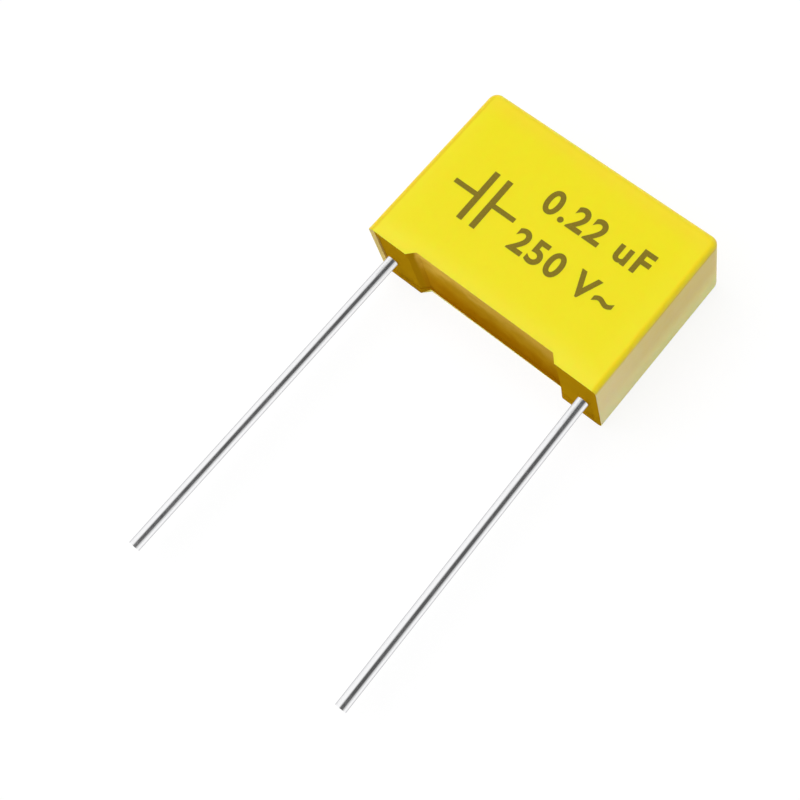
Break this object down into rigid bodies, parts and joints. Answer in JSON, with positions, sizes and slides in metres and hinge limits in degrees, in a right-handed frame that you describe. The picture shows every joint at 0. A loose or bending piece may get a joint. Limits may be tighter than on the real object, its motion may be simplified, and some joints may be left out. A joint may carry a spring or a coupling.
{
  "type": "box film capacitor",
  "caption": "Radial film capacitor in a rectangular moulded case with stand-off feet and long round wire leads, lying on its back face.",
  "frame": {"origin": "on the back face that the part lies on, in the plane of the feet, midway between the two leads", "axes": "+X along the lead pitch, +Y from the leads into the case, +Z out of the front face"},
  "size_m": [0.018, 0.0361, 0.006],
  "materials": {
    "case_plastic": "satin moulded yellow plastic",
    "potting": "amber cast resin",
    "film": "smooth wound film",
    "sprayed_metal": "rough sprayed zinc",
    "solder": "satin solder",
    "tinned_wire": "bright tinned wire"
  },
  "bodies": {
    "root": {"case": "case_plastic", "potting_resin": "potting", "film_winding": "film", "end_spray_left": "sprayed_metal", "end_spray_right": "sprayed_metal", "solder_joint_left": "solder", "solder_joint_right": "solder", "lead_left": "tinned_wire", "lead_right": "tinned_wire"}
  },
  "joints": []
}
